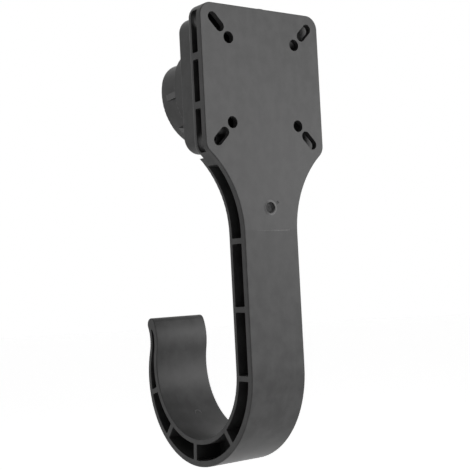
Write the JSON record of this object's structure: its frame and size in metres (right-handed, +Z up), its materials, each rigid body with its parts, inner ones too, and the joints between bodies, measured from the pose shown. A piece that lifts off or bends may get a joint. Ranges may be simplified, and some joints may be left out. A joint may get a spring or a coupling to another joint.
{
  "type": "ev connector holder",
  "caption": "Wall holder for an electric-vehicle charging plug: a ribbed plate with a D-shaped cup in front, and an arm below that ends in a wide cable hook.",
  "frame": {"origin": "centre of the round wall holes, on the wall face of the plate", "axes": "+Z up along the arm, +Y out of the wall face towards the wall, X across the plate"},
  "size_m": [0.1, 0.1271, 0.3102],
  "materials": {
    "moulded_plastic": "fine matte moulded texture, dark grey"
  },
  "bodies": {
    "root": {"ev_connector_holder": "moulded_plastic"}
  },
  "joints": []
}
